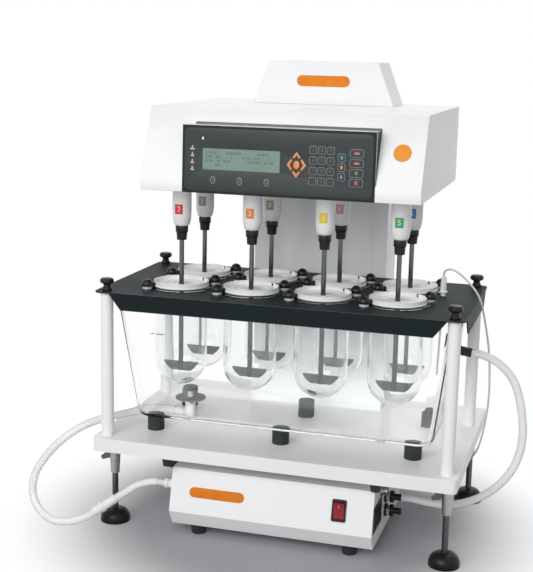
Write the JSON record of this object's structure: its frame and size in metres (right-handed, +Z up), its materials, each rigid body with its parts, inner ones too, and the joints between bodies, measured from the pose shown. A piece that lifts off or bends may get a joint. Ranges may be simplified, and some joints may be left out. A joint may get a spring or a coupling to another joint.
{
  "type": "dissolution tester",
  "caption": "Bench dissolution tester: paddles on a lifting drive head stir round-bottomed glass vessels hung in a clear water bath, with a hose-fed circulator below.",
  "frame": {"origin": "on the bench under the middle of the base plate", "axes": "+X to the object's right, -Y to its front, +Z up"},
  "size_m": [1.0119, 0.5036, 0.962],
  "materials": {
    "white_slab": "satin moulded slab",
    "white_enamel": "satin enamel on folded sheet",
    "hub_enamel": "white-coated turned alloy",
    "dark_enamel": "satin dark grey enamel",
    "membrane": "printed membrane",
    "display": "pale green display",
    "black_plastic": "moulded",
    "foot_plastic": "moulded pad on a steel screw",
    "vessel_glass": "polished",
    "bath_acrylic": "clear moulded acrylic",
    "cover_acrylic": "clear to milky moulded",
    "stainless": "turned and polished",
    "motor_enamel": "dark enamel",
    "pump_alloy": "cast",
    "black_rubber": "moulded",
    "red_plastic": "moulded",
    "clear_hose": "clear soft tubing",
    "white_plastic": "moulded",
    "cable_sheath": "grey sheath"
  },
  "bodies": {
    "root": {"base_plate": "white_slab", "support_columns": "white_enamel", "vessel_plate": "dark_enamel", "corner_knobs": "black_plastic", "vessel_clamps": "black_plastic", "vessels": "vessel_glass", "water_bath": "bath_acrylic", "bath_fittings": "black_plastic", "rubber_feet": "black_rubber", "tower_housing": "white_enamel", "circulator_case": "white_enamel", "circulator_pump": "pump_alloy", "switch_frame": "black_plastic", "circulator_ports": "stainless", "supply_hose": "clear_hose", "return_hose": "clear_hose", "hose_coupling": "white_plastic", "temperature_probe": "white_plastic", "probe_cable": "cable_sheath"},
    "head": {"head_shell": "white_enamel", "head_floor": "stainless", "motor_cover": "white_enamel", "panel_housing": "dark_enamel", "keypad_overlay": "membrane", "display_module": "display", "spindle_hubs": "hub_enamel", "spindle_bearings": "stainless", "drive_motor": "motor_enamel", "drive_belts": "black_rubber", "lift_column": "stainless"},
    "spindle_1": {"spindle_1": "stainless", "paddle_1": "stainless"},
    "cover_1": {"vessel_cover_1": "cover_acrylic"},
    "spindle_2": {"spindle_2": "stainless", "paddle_2": "stainless"},
    "cover_2": {"vessel_cover_2": "cover_acrylic"},
    "spindle_3": {"spindle_3": "stainless", "paddle_3": "stainless"},
    "cover_3": {"vessel_cover_3": "cover_acrylic"},
    "spindle_4": {"spindle_4": "stainless", "paddle_4": "stainless"},
    "cover_4": {"vessel_cover_4": "cover_acrylic"},
    "spindle_5": {"spindle_5": "stainless", "paddle_5": "stainless"},
    "cover_5": {"vessel_cover_5": "cover_acrylic"},
    "spindle_6": {"spindle_6": "stainless", "paddle_6": "stainless"},
    "cover_6": {"vessel_cover_6": "cover_acrylic"},
    "spindle_7": {"spindle_7": "stainless", "paddle_7": "stainless"},
    "cover_7": {"vessel_cover_7": "cover_acrylic"},
    "spindle_8": {"spindle_8": "stainless", "paddle_8": "stainless"},
    "cover_8": {"vessel_cover_8": "cover_acrylic"},
    "motor_pulley": {"motor_pulley": "stainless"},
    "foot_fl": {"levelling_foot_fl": "foot_plastic"},
    "foot_fr": {"levelling_foot_fr": "foot_plastic"},
    "foot_bl": {"levelling_foot_bl": "foot_plastic"},
    "foot_br": {"levelling_foot_br": "foot_plastic"},
    "rocker": {"power_rocker": "red_plastic"}
  },
  "joints": [
    {"name": "head_lift", "type": "slide", "parent": "root", "child": "head", "axis": [0, 0, 1], "range_m": [0, 0.25]},
    {"name": "spindle_8_spin", "type": "hinge", "parent": "head", "child": "spindle_8", "pos_m": [-0.075, 0.0165, 0.66], "axis": [0, 0, 1], "continuous": true},
    {"name": "spindle_1_spin", "type": "hinge", "parent": "head", "child": "spindle_1", "pos_m": [-0.225, 0.0165, 0.66], "axis": [0, 0, 1], "continuous": true},
    {"name": "spindle_2_spin", "type": "hinge", "parent": "head", "child": "spindle_2", "pos_m": [-0.225, -0.1245, 0.66], "axis": [0, 0, 1], "continuous": true},
    {"name": "spindle_3_spin", "type": "hinge", "parent": "head", "child": "spindle_3", "pos_m": [-0.075, -0.1245, 0.66], "axis": [0, 0, 1], "continuous": true},
    {"name": "spindle_4_spin", "type": "hinge", "parent": "head", "child": "spindle_4", "pos_m": [0.075, -0.1245, 0.66], "axis": [0, 0, 1], "continuous": true},
    {"name": "spindle_5_spin", "type": "hinge", "parent": "head", "child": "spindle_5", "pos_m": [0.225, -0.1245, 0.66], "axis": [0, 0, 1], "continuous": true},
    {"name": "spindle_6_spin", "type": "hinge", "parent": "head", "child": "spindle_6", "pos_m": [0.225, 0.0165, 0.66], "axis": [0, 0, 1], "continuous": true},
    {"name": "spindle_7_spin", "type": "hinge", "parent": "head", "child": "spindle_7", "pos_m": [0.075, 0.0165, 0.66], "axis": [0, 0, 1], "continuous": true},
    {"name": "cover_1_slide", "type": "slide", "parent": "head", "child": "cover_1", "axis": [0, 0, 1], "range_m": [0, 0.08]},
    {"name": "cover_2_slide", "type": "slide", "parent": "head", "child": "cover_2", "axis": [0, 0, 1], "range_m": [0, 0.08]},
    {"name": "cover_3_slide", "type": "slide", "parent": "head", "child": "cover_3", "axis": [0, 0, 1], "range_m": [0, 0.08]},
    {"name": "cover_4_slide", "type": "slide", "parent": "head", "child": "cover_4", "axis": [0, 0, 1], "range_m": [0, 0.08]},
    {"name": "cover_5_slide", "type": "slide", "parent": "head", "child": "cover_5", "axis": [0, 0, 1], "range_m": [0, 0.08]},
    {"name": "cover_6_slide", "type": "slide", "parent": "head", "child": "cover_6", "axis": [0, 0, 1], "range_m": [0, 0.08]},
    {"name": "cover_7_slide", "type": "slide", "parent": "head", "child": "cover_7", "axis": [0, 0, 1], "range_m": [0, 0.08]},
    {"name": "cover_8_slide", "type": "slide", "parent": "head", "child": "cover_8", "axis": [0, 0, 1], "range_m": [0, 0.08]},
    {"name": "motor_spin", "type": "hinge", "parent": "head", "child": "motor_pulley", "pos_m": [0, 0.156, 0.77], "axis": [0, 0, 1], "continuous": true},
    {"name": "foot_fl_turn", "type": "hinge", "parent": "root", "child": "foot_fl", "pos_m": [-0.349, -0.183, 0], "axis": [0, 0, 1], "continuous": true},
    {"name": "foot_fr_turn", "type": "hinge", "parent": "root", "child": "foot_fr", "pos_m": [0.349, -0.183, 0], "axis": [0, 0, 1], "continuous": true},
    {"name": "foot_bl_turn", "type": "hinge", "parent": "root", "child": "foot_bl", "pos_m": [-0.349, 0.183, 0], "axis": [0, 0, 1], "continuous": true},
    {"name": "foot_br_turn", "type": "hinge", "parent": "root", "child": "foot_br", "pos_m": [0.349, 0.183, 0], "axis": [0, 0, 1], "continuous": true},
    {"name": "rocker_tip", "type": "hinge", "parent": "root", "child": "rocker", "pos_m": [0.1425, -0.216, 0.098], "axis": [1, 0, 0], "range_deg": [-16, 0]}
  ],
  "couplings": [
    {"joint": "spindle_1_spin", "follows": "spindle_8_spin", "ratio": 1},
    {"joint": "spindle_2_spin", "follows": "spindle_8_spin", "ratio": 1},
    {"joint": "spindle_3_spin", "follows": "spindle_8_spin", "ratio": 1},
    {"joint": "spindle_4_spin", "follows": "spindle_8_spin", "ratio": 1},
    {"joint": "spindle_5_spin", "follows": "spindle_8_spin", "ratio": 1},
    {"joint": "spindle_6_spin", "follows": "spindle_8_spin", "ratio": 1},
    {"joint": "spindle_7_spin", "follows": "spindle_8_spin", "ratio": 1},
    {"joint": "motor_spin", "follows": "spindle_8_spin", "ratio": 2}
  ]
}
